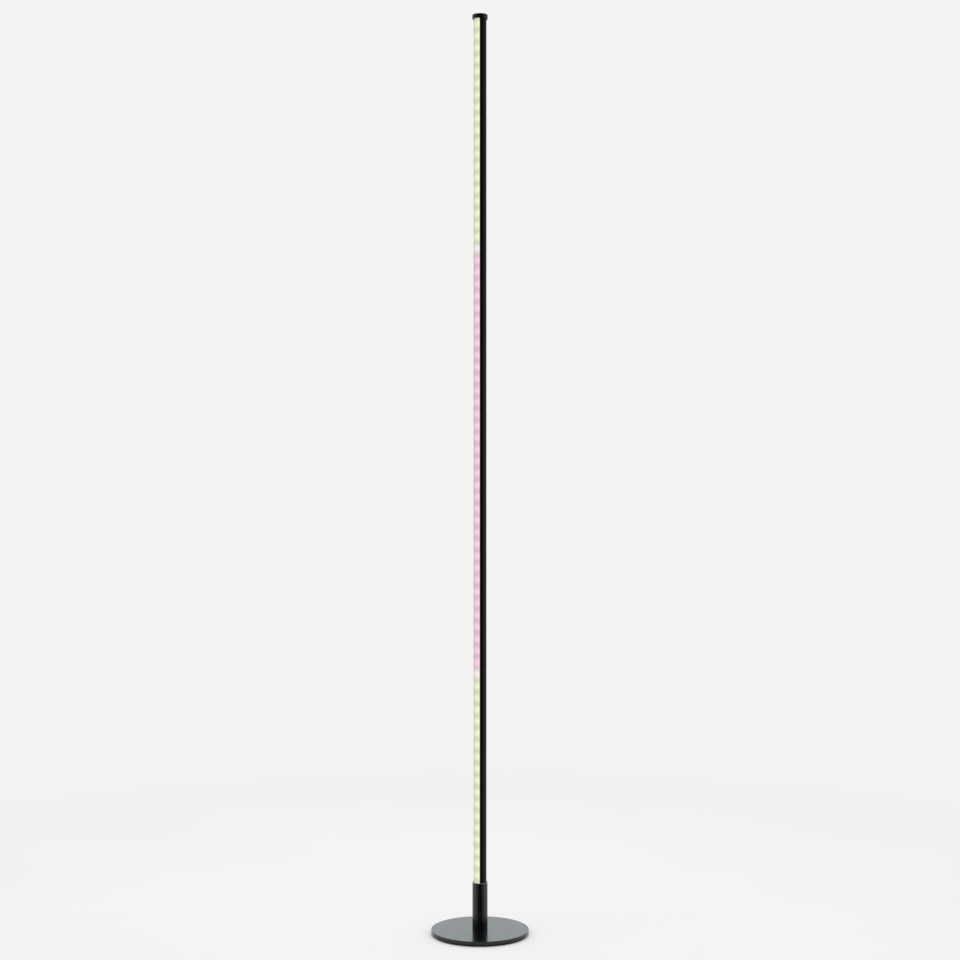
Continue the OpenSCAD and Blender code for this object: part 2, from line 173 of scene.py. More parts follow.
top_light = bpy.data.lights.new("top_light", "AREA")
top_light.size = TOP_LIGHT_SIZE
top_light.energy = TOP_LIGHT_WATTS
light_box = bpy.data.objects.new("top_light", top_light)
light_box.rotation_euler = (-TOP_LIGHT_AT).to_track_quat("-Z", "Y").to_euler()
light_box.location = TOP_LIGHT_AT
light_box.visible_camera = False
scene.collection.objects.link(light_box)

# ---------------------------------------------------------------- base plate
# A turned steel disc, powder coated satin black, with an eased upper edge and an underside
# that is drawn in. The base screw's countersunk hole comes up through its middle.
MM = 0.001


def reach(node):
    """The lowest and highest corners of a node's box, in millimetres."""
    return [[round(side / MM, 3) for side in corner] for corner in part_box(node)]


(_, _, PLATE_BASE), (PLATE_R, _, PLATE_TOP) = reach("base_plate")
RIM_BASE, UNDER_R = 3.8, 66.8
SINK_R, SINK_RIM, SINK_END, SCREW_HOLE_R = 8.05, 1.55, 5.4, 4.2
SHORT = 5  # millimetres, so that the edges across the foam ring aren't rounded


def turned(outline, at=(0, 0, 0), steps=192):
    """Spins an outline of (radius, height) points round an upright axis."""
    bm = bmesh.new()
    points = [bm.verts.new((r, 0, z)) for r, z in outline]
    edges = [bm.edges.new(pair) for pair in zip(points, points[1:])]
    if outline[0][0] > 0:
        edges.append(bm.edges.new((points[-1], points[0])))
    bmesh.ops.spin(bm, geom=points + edges, axis=(0, 0, 1), angle=math.tau, steps=steps, use_merge=True)
    bmesh.ops.remove_doubles(bm, verts=bm.verts, dist=1e-5)
    bmesh.ops.recalc_face_normals(bm, faces=bm.faces)
    bmesh.ops.translate(bm, verts=bm.verts, vec=at)
    return bm


def ease(bm, corners, by, segments=3):
    """Rounds the short edges that have both ends at the given (radius, height) corners."""
    def at_corner(v):
        out = math.hypot(v.co.x, v.co.y)
        return any(abs(out - r) < 1e-3 and abs(v.co.z - z) < 1e-3 for r, z in corners)
    edges = [e for e in bm.edges if all(map(at_corner, e.verts)) and e.calc_length() < SHORT]
    bmesh.ops.bevel(bm, geom=edges, offset=by, offset_type="OFFSET", segments=segments, profile=0.5,
                    affect="EDGES", material=-1)


def made(name, bm, body, node, finish):
    """Makes the finished piece, in metres, in place of its CAD node."""
    bmesh.ops.scale(bm, vec=(MM, MM, MM), verts=bm.verts)
    mesh = bpy.data.meshes.new(name)
    bm.to_mesh(mesh)
    bm.free()
    mesh.shade_smooth()
    mesh.set_sharp_from_angle(angle=math.radians(32))
    mesh.materials.append(finish)
    piece = bpy.data.objects.new(name, mesh)
    scene.collection.objects.link(piece)
    piece.modifiers.new("even_shading", "WEIGHTED_NORMAL").keep_sharp = True
    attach(piece, body)
    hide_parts(node)
    return piece


def finish_of(name, **values):
    """A new finish: a Principled shader with its plain values set."""
    finish = bpy.data.materials.new(name)
    finish.use_nodes = True
    for label, value in values.items():
        finish.node_tree.nodes["Principled BSDF"].inputs[label.replace("_", " ")].default_value = value
    return finish


def place_in_mm(finish, stretch=(1, 1, 1)):
    """Where a point lies on the piece, in millimetres, stretched along each axis."""
    spot = add(finish, "TexCoord").node.outputs["Object"]
    return add(finish, "VectorMath", spot, tuple(s / MM for s in stretch), operation="MULTIPLY")


def noise(finish, per_mm, detail=2.0, stretch=(1, 1, 1)):
    """Noise with so many swells to a millimetre. Most of it lies between 0.3 and 0.7."""
    return add(finish, "TexNoise", Vector=place_in_mm(finish, stretch), Scale=per_mm, Detail=detail)


def drive(finish, label, value):
    """Feeds one input of a finish's shader."""
    finish.node_tree.links.new(value, finish.node_tree.nodes["Principled BSDF"].inputs[label])


def tone(finish, pattern, dark, pale, span=(0.3, 0.7)):
    """Lets the colour wander between two tones as a pattern runs over its span."""
    drive(finish, "Base Color", ramp(finish, pattern, (span[0], dark), (span[1], pale)))


def dull(finish, pattern, least, most, span=(0.3, 0.7)):
    """Lets the roughness wander between two values as a pattern runs over its span."""
    drive(finish, "Roughness", add(finish, "MapRange", pattern, *span, least, most))


def relief(finish, *layers):
    """Raises the face by layers of (pattern, depth in millimetres)."""
    normal = None
    for pattern, depth in layers:
        normal = add(finish, "Bump", Height=pattern, Distance=depth * MM, Normal=normal)
    drive(finish, "Normal", normal)


powder = finish_of("black_powder_coat")
grit = noise(powder, 6)
peel = noise(powder, 0.9, detail=1)
tone(powder, noise(powder, 0.03, detail=3), (0.0034, 0.0036, 0.0038), (0.0050, 0.0052, 0.0055))
dull(powder, grit, 0.17, 0.25)
relief(powder, (peel, 0.022), (grit, 0.003))

base_plate = turned([(SCREW_HOLE_R, PLATE_TOP), (PLATE_R, PLATE_TOP), (PLATE_R, RIM_BASE),
                     (UNDER_R, PLATE_BASE), (SINK_R, PLATE_BASE), (SINK_R, SINK_RIM),
                     (SCREW_HOLE_R, SINK_END)])
ease(base_plate, [(PLATE_R, PLATE_TOP)], 0.4, segments=4)
ease(base_plate, [(PLATE_R, RIM_BASE), (UNDER_R, PLATE_BASE)], 0.3)
made("base_plate_turned", base_plate, "stand", "base_plate", powder)

# ---------------------------------------------------------------- foam ring
# A ring of closed-cell foam, die cut and glued under the plate so that it grips the floor.
# Its open middle leaves room for a key on the base screw.
(_, _, FOAM_BASE), (FOAM_R, _, FOAM_TOP) = reach("base_pad")
FOAM_HOLE_R = 22

foam = finish_of("black_foam", Roughness=0.9, Specular_IOR_Level=0.25)
pores = add(foam, "TexVoronoi", Vector=place_in_mm(foam), Scale=2.2)
tone(foam, noise(foam, 0.15, detail=3), (0.020, 0.020, 0.021), (0.034, 0.034, 0.035))
relief(foam, (pores, 0.08), (noise(foam, 9), 0.02))

base_pad = turned([(FOAM_HOLE_R, FOAM_TOP), (FOAM_R, FOAM_TOP), (FOAM_R, FOAM_BASE),
                   (FOAM_HOLE_R, FOAM_BASE)])
ease(base_pad, [(FOAM_R, FOAM_BASE), (FOAM_HOLE_R, FOAM_BASE)], 0.3)
foam_ring = made("foam_ring", base_pad, "stand", "base_pad", foam)

# ---------------------------------------------------------------- base screw
# An M8 countersunk screw, zinc plated, that pulls the steel boss down on to the plate.
# It has a rolled thread and a hexagon socket, and sits a little inside the plate's underside.
(_, _, HEAD_FACE), (HEAD_R, _, SCREW_TIP) = reach("fixing_screw")
SHANK_R, SHANK_FROM, SHANK_TO, TIP_R = 4.0, 6.0, 17.0, 3.4
THREAD_FROM, THREAD_ROOT, THREAD_PITCH = 7.0, 3.25, 1.25
KEY_R, KEY_FROM, KEY_TO = 2.771, -0.4, 4.4  # 4.8 mm across the flats

zinc = finish_of("zinc_plate", Metallic=1.0)
spangle = add(zinc, "TexVoronoi", Vector=place_in_mm(zinc), Scale=1.6)
tone(zinc, spangle, (0.55, 0.56, 0.58), (0.68, 0.69, 0.70), span=(0.0, 1.0))
dull(zinc, noise(zinc, 3), 0.28, 0.42)
relief(zinc, (noise(zinc, 5), 0.003))


def cut_away(bm, cutter):
    """Takes the cutter's shape out of a piece."""
    parts = []
    for each in (bm, cutter):
        mesh = bpy.data.meshes.new("part")
        each.to_mesh(mesh)
        each.free()
        parts.append(bpy.data.objects.new("part", mesh))
        scene.collection.objects.link(parts[-1])
    boolean = parts[0].modifiers.new("cut", "BOOLEAN")
    boolean.operation, boolean.solver, boolean.object = "DIFFERENCE", "EXACT", parts[1]
    left = bmesh.new()
    left.from_mesh(parts[0].evaluated_get(bpy.context.evaluated_depsgraph_get()).to_mesh())
    for part in parts:
        bpy.data.meshes.remove(part.data)
    bmesh.ops.remove_doubles(left, verts=left.verts, dist=1e-5)
    return left


def shank(radius, start, end, pitch):
    """Points along a shank, eight to a turn of the thread that it will carry."""
    count = round(abs(end - start) * 8 / pitch)
    return [(radius, start + (end - start) * i / count) for i in range(count + 1)]


def threaded(bm, low, high, root, pitch, x=0):
    """Sinks a V thread into a shank between two heights. It dies out at both ends."""
    for v in bm.verts:
        out = Vector((v.co.x - x, v.co.y, 0))
        full = min((v.co.z - low) / pitch, (high - v.co.z) / pitch, 1)
        if full > 0 and out.length > root:
            turn = v.co.z / pitch - math.atan2(out.y, out.x) / math.tau
            v.co -= out.normalized() * (out.length - root) * full * abs(2 * (turn % 1) - 1)


fixing_screw = turned([(0, HEAD_FACE), (HEAD_R - 0.15, HEAD_FACE), (HEAD_R, HEAD_FACE + 0.15),
                       (SHANK_R, HEAD_FACE + HEAD_R - SHANK_R),
                       *shank(SHANK_R, SHANK_FROM, SHANK_TO, THREAD_PITCH),
                       (TIP_R, SCREW_TIP), (0, SCREW_TIP)], steps=96)
threaded(fixing_screw, THREAD_FROM, SCREW_TIP, THREAD_ROOT, THREAD_PITCH)
key_socket = bmesh.new()
bmesh.ops.create_cone(key_socket, cap_ends=True, segments=6, radius1=KEY_R, radius2=KEY_R,
                      depth=KEY_TO - KEY_FROM,
                      matrix=Matrix.Translation((0, 0, (KEY_TO + KEY_FROM) / 2)))
fixing_screw = cut_away(fixing_screw, key_socket)
made("base_screw", fixing_screw, "stand", "fixing_screw", zinc)

# ---------------------------------------------------------------- sleeve
# A steel tube, powder coated like the plate, that the pole stands in. Its upper lip is bare,
# where the coat was faced off. At the rear are the grommet's hole and the tapped one above it.
(_, _, SLEEVE_FOOT), (SLEEVE_R, _, SLEEVE_TOP) = reach("sleeve")
SLEEVE_BORE = 9.3
CORD_UP, CORD_HOLE_R = 24.8, 3.55
STOP_UP, STOP_HOLE_R = 38.5, 1.55


def to_rear(bm, height):
    """Swings what is drawn upwards round to the rear, at the given height."""
    bmesh.ops.rotate(bm, verts=bm.verts, matrix=Matrix.Rotation(-math.pi / 2, 3, "X"))
    bmesh.ops.translate(bm, verts=bm.verts, vec=(0, 0, height))
    return bm


def rear_bore(radius, height, start=6, end=14):
    """A round cutter that goes out to the rear, between two distances from the axis."""
    return to_rear(turned([(0, start), (radius, start), (radius, end), (0, end)], steps=64), height)


coated_steel = powder.copy()
coated_steel.name = "powder_coat_bare_lip"
up = add(coated_steel, "SeparateXYZ", place_in_mm(coated_steel)).node.outputs["Z"]
ragged = add(coated_steel, "Math", noise(coated_steel, 2.5), 0.12, up, operation="MULTIPLY_ADD")
bare = add(coated_steel, "MapRange", ragged, SLEEVE_TOP - 0.38, SLEEVE_TOP - 0.30, 0.0, 1.0)
coat_tone = coated_steel.node_tree.nodes["Principled BSDF"].inputs["Base Color"].links[0].from_socket
drive(coated_steel, "Base Color", add(coated_steel, "MixRGB", bare, coat_tone, (0.60, 0.60, 0.61, 1)))
drive(coated_steel, "Metallic", bare)

sleeve = turned([(SLEEVE_R, SLEEVE_FOOT), (SLEEVE_R, SLEEVE_TOP), (SLEEVE_BORE, SLEEVE_TOP),
                 (SLEEVE_BORE, SLEEVE_FOOT)])
ease(sleeve, [(SLEEVE_R, SLEEVE_TOP), (SLEEVE_BORE, SLEEVE_TOP)], 0.4, segments=4)
sleeve = cut_away(sleeve, rear_bore(CORD_HOLE_R, CORD_UP))
sleeve = cut_away(sleeve, rear_bore(STOP_HOLE_R, STOP_UP))
made("sleeve_tube", sleeve, "stand", "sleeve", coated_steel)


# ---------------------------------------------------------------- boss
# A turned steel slug pressed into the sleeve's foot, with a well where the cord turns up.
# Fine rings from the lathe show on its top face.
def refinish(node, finish):
    """Gives a CAD node, whose shape is right, its finish."""
    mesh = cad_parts[node].data
    mesh.materials.clear()
    mesh.materials.append(finish)


steel = finish_of("turned_steel", Metallic=1.0)
rings = add(steel, "TexWave", Vector=place_in_mm(steel), Scale=1.2, Distortion=0.4, wave_type="RINGS",
            rings_direction="Z")
tone(steel, noise(steel, 0.4), (0.42, 0.42, 0.43), (0.50, 0.50, 0.51))
dull(steel, rings, 0.26, 0.38, span=(0.0, 1.0))
relief(steel, (rings, 0.004))
refinish("foot_boss", steel)

# ---------------------------------------------------------------- grommet and drag ring
# Moulded black rubber: a bush that guards the cord in the sleeve's wall, with a soft edged
# flange that follows the tube, and a ring that drags in the sleeve to hold the pole's aim.
(_, BUSH_IN, _), (FLANGE_R, BUSH_OUT, _) = reach("cord_grommet")
NECK_R, CORD_R, FLARE_R = 3.5, 2.5, 3.0
FLANGE_SEAT = SLEEVE_R + 0.05

rubber = finish_of("black_rubber", Roughness=0.72, Specular_IOR_Level=0.35)
bloom = noise(rubber, 0.5, detail=3)
tone(rubber, bloom, (0.020, 0.020, 0.020), (0.036, 0.036, 0.036), span=(0.35, 0.75))
relief(rubber, (noise(rubber, 4), 0.01))

bush = turned([(0, BUSH_IN), (FLANGE_R, BUSH_IN), (FLANGE_R, BUSH_OUT), (0, BUSH_OUT)], steps=96)
ease(bush, [(FLANGE_R, BUSH_OUT)], 0.5, segments=4)
inside_tube = turned([(0, CORD_UP - 10), (FLANGE_SEAT, CORD_UP - 10), (FLANGE_SEAT, CORD_UP + 10),
                      (0, CORD_UP + 10)])
inside_tube = cut_away(inside_tube, rear_bore(NECK_R, CORD_UP))
bush = cut_away(to_rear(bush, CORD_UP), inside_tube)
cord_way = turned([(0, BUSH_IN - 1), (CORD_R, BUSH_IN - 1), (CORD_R, BUSH_OUT - 0.5),
                   (CORD_R + 0.12, BUSH_OUT - 0.2), (FLARE_R, BUSH_OUT + 0.05),
                   (FLARE_R, BUSH_OUT + 1), (0, BUSH_OUT + 1)], steps=64)
bush = cut_away(bush, to_rear(cord_way, CORD_UP))
made("cord_bush", bush, "stand", "cord_grommet", rubber)
refinish("drag_ring", rubber)

# ---------------------------------------------------------------- retaining screw
# A short set screw of blackened steel in the sleeve's rear wall. Its point runs in the
# groove of the foot plug, which keeps the pole in the sleeve and stops its turn.
oxide = finish_of("black_oxide", Metallic=1.0)
tone(oxide, noise(oxide, 1.2, detail=3), (0.035, 0.035, 0.037), (0.065, 0.065, 0.067))
dull(oxide, noise(oxide, 4), 0.32, 0.46)
relief(oxide, (noise(oxide, 6), 0.002))
refinish("retaining_screw", oxide)

# ---------------------------------------------------------------- foot plug
# A natural nylon plug in the pole's lower end. It carries the socket for the cord and has
# the groove, with its one rib, that the retaining screw runs in.
nylon = finish_of("natural_nylon", Roughness=0.42, Subsurface_Weight=0.2, Subsurface_Scale=0.002)
tone(nylon, noise(nylon, 0.2, detail=3), (0.62, 0.60, 0.53), (0.70, 0.68, 0.61))
relief(nylon, (noise(nylon, 2.5), 0.006))
refinish("foot_plug", nylon)

# ---------------------------------------------------------------- socket, contacts and leads
# A moulded three-way socket for the cord's plug, with brass pins that run up to three
# insulated leads. The leads are soldered to the lowest pads of the light strip.
moulding = finish_of("white_plastic", Roughness=0.38)
tone(moulding, noise(moulding, 0.6), (0.72, 0.72, 0.69), (0.78, 0.78, 0.75))
relief(moulding, (noise(moulding, 5), 0.004))
refinish("lead_socket", moulding)

brass = finish_of("drawn_brass", Metallic=1.0)
draw_marks = noise(brass, 5, stretch=(1, 1, 0.04))
tone(brass, draw_marks, (0.62, 0.43, 0.16), (0.74, 0.53, 0.22))
dull(brass, draw_marks, 0.2, 0.34)
refinish("socket_contacts", brass)

insulation = finish_of("lead_insulation", Roughness=0.45)
tone(insulation, noise(insulation, 0.3), (0.74, 0.74, 0.73), (0.82, 0.82, 0.80))
relief(insulation, (noise(insulation, 3), 0.01))
refinish("strip_leads", insulation)

# ---------------------------------------------------------------- profile
# An aluminium extrusion, anodised black, which is the right half of the pole. Its web
# carries the light strip, its grooves hold the diffuser and its port takes the end screws.
(_, _, POLE_LOW), (_, POLE_R, POLE_HIGH) = reach("profile")
AXIS = (0, 0)
CHAMBER, GROOVE = 7.5, 8.1
LIP, HOOK_END, WEB, WEB_BACK = 0.9, 1.9, 2.2, 3.5
BACK_R = 7.9
PORT, PORT_R, PORT_OUT = (5.4, 0), 0.95, 1.95
RIB, SLOT = 1.0, 0.475
SEAM_EDGE = 0.12


def drawn_loop(bm, start, *moves):
    """A closed outline. A move is a point to go to, or a centre, a point and a way round."""
    first = last = bm.verts.new((*start, 0))
    for move in moves:
        if len(move) == 2:
            last = bmesh.ops.extrude_vert_indiv(bm, verts=[last])["verts"][0]
            last.co.xy = move
            continue
        (cx, cy), (x, y), way = move
        begin = math.atan2(last.co.y - cy, last.co.x - cx)
        sweep = way * ((way * (math.atan2(y - cy, x - cx) - begin)) % math.tau)
        steps = max(4, round(abs(sweep) * (12 + 2.4 * math.hypot(x - cx, y - cy))))
        swept = bmesh.ops.spin(bm, geom=[last], cent=(cx, cy, 0), axis=(0, 0, 1), angle=sweep, steps=steps)
        last = next(v for v in swept["geom_last"] if isinstance(v, bmesh.types.BMVert))
    bm.edges.new((last, first))


def extruded(bm, low, high):
    """Fills the outlines and draws the section up from one height to another."""
    bmesh.ops.remove_doubles(bm, verts=bm.verts, dist=1e-4)
    bmesh.ops.triangle_fill(bm, edges=bm.edges, use_beauty=True, normal=(0, 0, 1))
    up = bmesh.ops.extrude_face_region(bm, geom=bm.faces)["geom"]
    top = [v for v in up if isinstance(v, bmesh.types.BMVert)]
    bmesh.ops.translate(bm, verts=bm.verts, vec=(0, 0, low))
    bmesh.ops.translate(bm, verts=top, vec=(0, 0, high - low))
    bmesh.ops.recalc_face_normals(bm, faces=bm.faces)
    return bm


def ease_seam(bm):
    """Rounds the two upright edges where the profile and the diffuser meet."""
    def at_seam(e):
        upright = abs(e.verts[0].co.z - e.verts[1].co.z) > 1
        return upright and all(abs(v.co.x) + abs(abs(v.co.y) - POLE_R) < 2e-3 for v in e.verts)
    bmesh.ops.bevel(bm, geom=[e for e in bm.edges if at_seam(e)], offset=SEAM_EDGE, offset_type="OFFSET",
                    segments=3, profile=0.5, affect="EDGES", material=-1)


def beside(radius, x):
    """How far a circle round the axis lies to the side at x."""
    return math.sqrt(radius ** 2 - x ** 2)


port_side = beside(PORT_OUT, RIB)
slot_out = beside(PORT_OUT, SLOT)
slot_in = beside(PORT_R, SLOT)

profile = bmesh.new()
drawn_loop(profile, (0, -POLE_R), (AXIS, (0, POLE_R), 1), (0, CHAMBER), (LIP, CHAMBER), (LIP, GROOVE),
           (HOOK_END, GROOVE), (HOOK_END, CHAMBER), (WEB, CHAMBER), (WEB, -CHAMBER), (HOOK_END, -CHAMBER),
           (HOOK_END, -GROOVE), (LIP, -GROOVE), (LIP, -CHAMBER), (0, -CHAMBER))
drawn_loop(profile, (WEB_BACK, -RIB), (PORT[0] - port_side, -RIB), (PORT, (PORT[0] + port_side, -RIB), 1),
           (beside(BACK_R, RIB), -RIB), (AXIS, (WEB_BACK, -beside(BACK_R, WEB_BACK)), -1))
drawn_loop(profile, (WEB_BACK, RIB), (PORT[0] - port_side, RIB), (PORT, (PORT[0] - SLOT, slot_out), -1),
           (PORT[0] - SLOT, slot_in), (PORT, (PORT[0] + SLOT, slot_in), 1), (PORT[0] + SLOT, slot_out),
           (PORT, (PORT[0] + port_side, RIB), -1), (beside(BACK_R, RIB), RIB),
           (AXIS, (WEB_BACK, beside(BACK_R, WEB_BACK)), 1))
profile = extruded(profile, POLE_LOW, POLE_HIGH)
ease_seam(profile)

anodised = finish_of("black_anodised", Specular_IOR_Level=0.17)
die_lines = noise(anodised, 3.5, detail=3, stretch=(1, 1, 0.004))
tone(anodised, noise(anodised, 0.02), (0.0020, 0.0021, 0.0023), (0.0030, 0.0031, 0.0034))
dull(anodised, die_lines, 0.25, 0.41)
relief(anodised, (die_lines, 0.008), (noise(anodised, 9), 0.001))
made("pole_profile", profile, "pole", "profile", anodised)

# ---------------------------------------------------------------- light strip
# A white flexible circuit, stuck to the web with thin tape. Each square lamp on it has a
# round window of phosphor and a small capacitor above it, and copper pads lie between them.
LED_PITCH = 16.67
TOP_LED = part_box("led_strip")[1].z / MM - LED_PITCH / 2
PAD_FROM_CUT, PAD_HALF = 1.3, 0.9
COLUMN_PITCH, PAD_HALF_WIDE, PADS_END = 2.5, 0.75, 3.4
WINDOW_R, WINDOW_EDGE = 1.85, 0.15
CAPACITOR_UP, CAPACITOR_HALF = 3.35, 0.5


def up_the_strip(finish, start):
    """Distance to the nearest place that repeats up the strip at the lamps' pitch."""
    height = add(finish, "SeparateXYZ", place_in_mm(finish)).node.outputs["Z"]
    from_start = add(finish, "Math", height, start, operation="SUBTRACT")
    return add(finish, "Math", from_start, LED_PITCH / 2, operation="PINGPONG")


tape = finish_of("strip_tape", Roughness=0.5)
weave = noise(tape, 2, stretch=(1, 1, 0.1))
tone(tape, weave, (0.50, 0.05, 0.035), (0.62, 0.07, 0.05))
relief(tape, (weave, 0.01))
refinish("strip_tape", tape)

circuit = finish_of("white_circuit", Roughness=0.4)
across = add(circuit, "SeparateXYZ", place_in_mm(circuit)).node.outputs["Y"]
from_cut = up_the_strip(circuit, TOP_LED - LED_PITCH / 2)
near_cut = add(circuit, "Math", from_cut, PAD_FROM_CUT, PAD_HALF, operation="COMPARE")
from_column = add(circuit, "Math", across, COLUMN_PITCH / 2, operation="PINGPONG")
column = add(circuit, "Math", from_column, 0.0, PAD_HALF_WIDE, operation="COMPARE")
on_strip = add(circuit, "Math", across, 0.0, PADS_END, operation="COMPARE")
pad = add(circuit, "Math", near_cut, column, operation="MULTIPLY")
pad = add(circuit, "Math", pad, on_strip, operation="MULTIPLY")
tone(circuit, pad, (0.82, 0.82, 0.80), (0.72, 0.40, 0.20), span=(0.0, 1.0))
drive(circuit, "Metallic", pad)
relief(circuit, (noise(circuit, 3), 0.004), (pad, -0.02))
refinish("led_strip", circuit)

lamp_face = finish_of("led_package", Roughness=0.3, Emission_Strength=1.0)
sideways = add(lamp_face, "SeparateXYZ", place_in_mm(lamp_face)).node.outputs["Y"]
aside = add(lamp_face, "Math", sideways, 2.0, operation="POWER")
along = add(lamp_face, "Math", up_the_strip(lamp_face, TOP_LED), 2.0, operation="POWER")
squared = add(lamp_face, "Math", aside, along, operation="ADD")
from_middle = add(lamp_face, "Math", squared, 0.5, operation="POWER")
window = add(lamp_face, "MapRange", from_middle, WINDOW_R + WINDOW_EDGE, WINDOW_R, 0.0, 1.0)
tone(lamp_face, window, (0.80, 0.80, 0.78), (0.85, 0.68, 0.22), span=(0.0, 1.0))
drive(lamp_face, "Emission Color", ramp(lamp_face, window, (0.0, (0.0, 0.0, 0.0)), (1.0, (0.9, 0.85, 0.6))))
relief(lamp_face, (noise(lamp_face, 4), 0.004))
lamp_face.cycles.emission_sampling = "NONE"
refinish("led_packages", lamp_face)

ceramic = finish_of("capacitor", Roughness=0.35)
from_body = up_the_strip(ceramic, TOP_LED + CAPACITOR_UP)
body = add(ceramic, "Math", from_body, CAPACITOR_HALF, operation="LESS_THAN")
tone(ceramic, body, (0.72, 0.72, 0.70), (0.36, 0.24, 0.14), span=(0.0, 1.0))
drive(ceramic, "Metallic", add(ceramic, "Math", 1.0, body, operation="SUBTRACT"))
relief(ceramic, (noise(ceramic, 6), 0.004))
refinish("strip_capacitors", ceramic)

# ---------------------------------------------------------------- diffuser
# A half tube of opal acrylic that snaps into the profile with two hooked legs, the left
# half of the pole. The lamps behind it glow green above, pink in the middle, green below.
WALL_IN = 8.0
LEG_IN, LEG_OUT, HOOK_OUT = 6.35, 7.45, 8.0
HOOK_LOW, HOOK_MID, LEG_END, SHOULDER = 0.95, 1.375, 1.8, -1.2
GREEN_ABOVE, GREEN_BELOW = (0.69, 0.76, 0.455), (0.68, 0.76, 0.45)
PINK, WHITE = (0.805, 0.49, 0.64), (0.755, 0.69, 0.665)
UPPER_CHANGE, LOWER_CHANGE = 19, 55  # the lamps, counted down from the top, that are white
# Painted reflection: over the last few millimetres before the seam, the glow is mixed a little towards
# white.
PAINTED_REFLECTION_FROM, PAINTED_REFLECTION_TO, PAINTED_REFLECTION_BY = -3.2, -0.6, 0.17  # towards the seam
SWELL = 0.145
# Painted shade: how bright the wall glows, from its far side, 0, to the seam, 1. The glow is dimmed towards
# the far side and dies out at the seam, where the profile shades it.
PAINTED_SHADE_ROUND = ((0.0, (0.72,)), (0.15, (0.77,)), (0.31, (0.87,)), (0.46, (0.92,)), (0.61, (0.94,)),
                (0.77, (1.0,)), (0.90, (1.0,)), (0.97, (0.2,)), (1.0, (0.0,)))

shoulder_y = beside(WALL_IN, SHOULDER)
diffuser = bmesh.new()
drawn_loop(diffuser, (0, POLE_R), (AXIS, (0, -POLE_R), 1), (0, -LEG_OUT), (HOOK_LOW, -LEG_OUT),
           (HOOK_LOW, -HOOK_OUT), (HOOK_MID, -HOOK_OUT), (LEG_END, -LEG_OUT), (LEG_END, -LEG_IN),
           (SHOULDER, -LEG_IN), (SHOULDER, -shoulder_y), (AXIS, (SHOULDER, shoulder_y), -1),
           (SHOULDER, LEG_IN), (LEG_END, LEG_IN), (LEG_END, LEG_OUT), (HOOK_MID, HOOK_OUT),
           (HOOK_LOW, HOOK_OUT), (HOOK_LOW, LEG_OUT), (0, LEG_OUT))
diffuser = extruded(diffuser, POLE_LOW, POLE_HIGH)
ease_seam(diffuser)

opal = finish_of("opal_acrylic", Roughness=0.5, Specular_IOR_Level=0.0, Coat_Weight=1.0, Coat_Roughness=0.3,
                 Coat_Tint=(0.8, 0.8, 0.8, 1), Emission_Strength=1.36)


def at_lamp(count):
    """Place of a lamp, counted down from the top, between the pole's ends, from 0 to 1."""
    return (TOP_LED - LED_PITCH * count - POLE_LOW) / (POLE_HIGH - POLE_LOW)


def change(count, under, over):
    """Stops for a change of colour, with one white lamp between the two."""
    return ((at_lamp(count + 0.7), under), (at_lamp(count + 0.3), WHITE),
            (at_lamp(count - 0.3), WHITE), (at_lamp(count - 0.7), over))


spot = add(opal, "SeparateXYZ", place_in_mm(opal)).node
up_pole = add(opal, "MapRange", spot.outputs["Z"], POLE_LOW, POLE_HIGH, 0.0, 1.0)
zones = ramp(opal, up_pole, *change(LOWER_CHANGE, GREEN_BELOW, PINK),
             *change(UPPER_CHANGE, PINK, GREEN_ABOVE))
# Painted reflection: the glow turns whiter towards the seam.
painted_reflection = add(opal, "MapRange", spot.outputs["X"], PAINTED_REFLECTION_FROM, PAINTED_REFLECTION_TO, 0.0, PAINTED_REFLECTION_BY)
glow_and_painted_reflection = add(opal, "MixRGB", painted_reflection, zones, (1, 1, 1, 1))
turn = add(opal, "Math", up_the_strip(opal, TOP_LED), math.tau / LED_PITCH, operation="MULTIPLY")
wave = add(opal, "Math", turn, operation="COSINE")
spots = add(opal, "Math", wave, SWELL, 1.0, operation="MULTIPLY_ADD")
# Painted shade across the wall, dimmer on the far side and dark at the seam. The lamps' spots are
# multiplied in along it.
painted_shade_across = add(opal, "MapRange", spot.outputs["X"], -POLE_R, 0.0, 0.0, 1.0)
spots_and_painted_shade = add(opal, "Math", spots, ramp(opal, painted_shade_across, *PAINTED_SHADE_ROUND), operation="MULTIPLY")
drive(opal, "Emission Color", add(opal, "VectorMath", glow_and_painted_reflection, operation="SCALE", Scale=spots_and_painted_shade))
tone(opal, noise(opal, 0.05), (0.10, 0.10, 0.10), (0.12, 0.12, 0.12))
relief(opal, (noise(opal, 1.5, stretch=(1, 1, 0.05)), 0.004))
made("pole_diffuser", diffuser, "pole", "diffuser", opal)

# ---------------------------------------------------------------- cap and end screws
# A cup moulded in black ABS that closes the pole's top, with a block that fills the light
# chamber. One small screw draws it on to the profile, and another draws the foot plug on.
(_, _, CAP_LOW), (CAP_R, _, CAP_TOP) = reach("top_cap")
CAP_BORE = 9.25
SPIGOT_R, SPIGOT_HALF, SPIGOT_FRONT, SPIGOT_BACK = 7.85, 6.25, -6.072, 0.4
SPIGOT_DEEP, SPIGOT_INTO_CAP = 4.5, 0.05
HOLE_R, HOLE_SINK_R, HOLE_RIM = 1.2, 1.942, 0.05
END_HEAD_R, END_RIM_R, END_SHANK_R, END_ROOT, END_PITCH = 1.892, 1.80, 0.9, 0.62, 0.8
CROSS_LONG, CROSS_WIDE, CROSS_DEEP = 2.1, 0.46, 1.3

black_abs = finish_of("black_abs", Specular_IOR_Level=0.65)
spark = noise(black_abs, 5)
tone(black_abs, noise(black_abs, 0.2), (0.0020, 0.0021, 0.0021), (0.0032, 0.0033, 0.0032))
dull(black_abs, spark, 0.13, 0.19)
relief(black_abs, (spark, 0.004))

